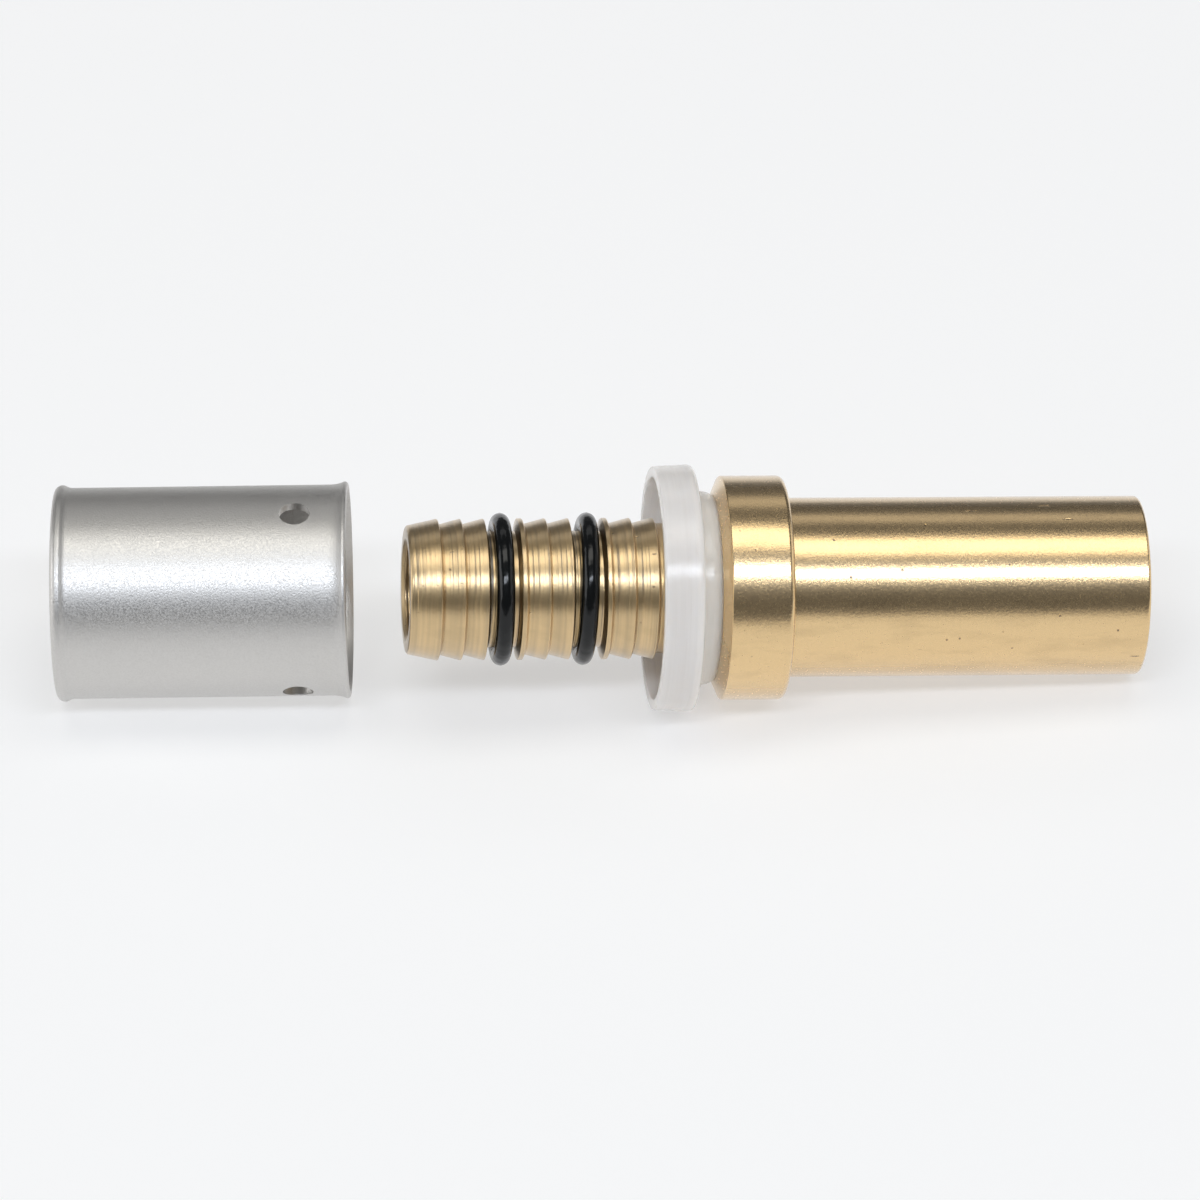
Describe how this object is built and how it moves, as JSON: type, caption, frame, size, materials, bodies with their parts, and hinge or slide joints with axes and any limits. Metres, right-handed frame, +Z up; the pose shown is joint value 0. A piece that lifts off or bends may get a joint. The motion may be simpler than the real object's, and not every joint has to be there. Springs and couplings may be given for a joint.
{
  "type": "press transition fitting",
  "caption": "Turned brass transition fitting with a toothed barb and O-rings for multilayer pipe, a collar, a plain copper-size spigot, and its steel press sleeve taken off.",
  "frame": {"origin": "bottom centre of the box around the lying fitting and its sleeve, on the surface that they lie on", "axes": "+X runs along the set from the sleeve's beaded end to the spigot's end, +Z is up"},
  "size_m": [0.0918, 0.0258, 0.0207],
  "materials": {
    "turned_brass": "fine turned",
    "seal_rubber": "moulded, slightly glossy",
    "milky_plastic": "moulded, milky and translucent",
    "sheet_steel": "satin"
  },
  "bodies": {
    "root": {"fitting_body": "turned_brass", "tip_o_ring": "seal_rubber", "collar_o_ring": "seal_rubber", "insulating_ring": "milky_plastic", "press_sleeve": "sheet_steel"}
  },
  "joints": []
}
